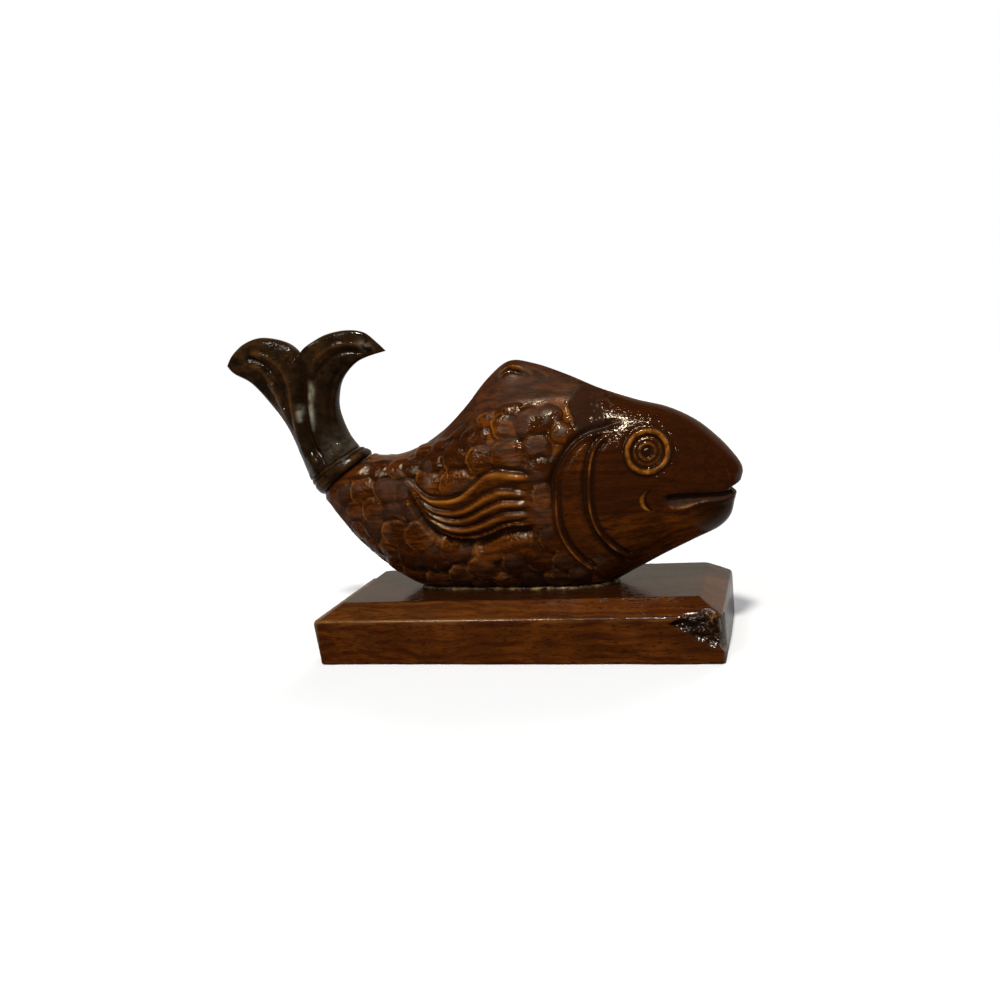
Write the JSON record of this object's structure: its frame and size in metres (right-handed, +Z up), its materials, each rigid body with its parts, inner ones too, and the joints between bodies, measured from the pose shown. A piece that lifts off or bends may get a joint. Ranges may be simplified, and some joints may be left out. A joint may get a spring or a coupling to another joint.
{
  "type": "fish figurine",
  "caption": "Carved wooden fish with a raised forked tail, seated on a chamfered wooden plinth: a free-standing ornament for a shelf or table.",
  "frame": {"origin": "centre of the plinth's underside", "axes": "+X along the plinth towards the fish's nose, +Y across it, +Z up"},
  "size_m": [0.2263, 0.072, 0.1411],
  "materials": {
    "plank_wood": "varnished reddish plank with straight grain",
    "carved_wood": "varnished red-brown carving, golden where the chisel has cut",
    "dark_wood": "varnished dark brown wood",
    "dowel_wood": "plain pale wood",
    "screw_steel": "plain steel"
  },
  "bodies": {
    "root": {"plinth": "plank_wood", "fish_body": "carved_wood", "tail_collar": "dark_wood", "tail_fin": "dark_wood", "tail_dowel": "dowel_wood", "plinth_screw_front": "screw_steel", "plinth_screw_rear": "screw_steel"}
  },
  "joints": []
}
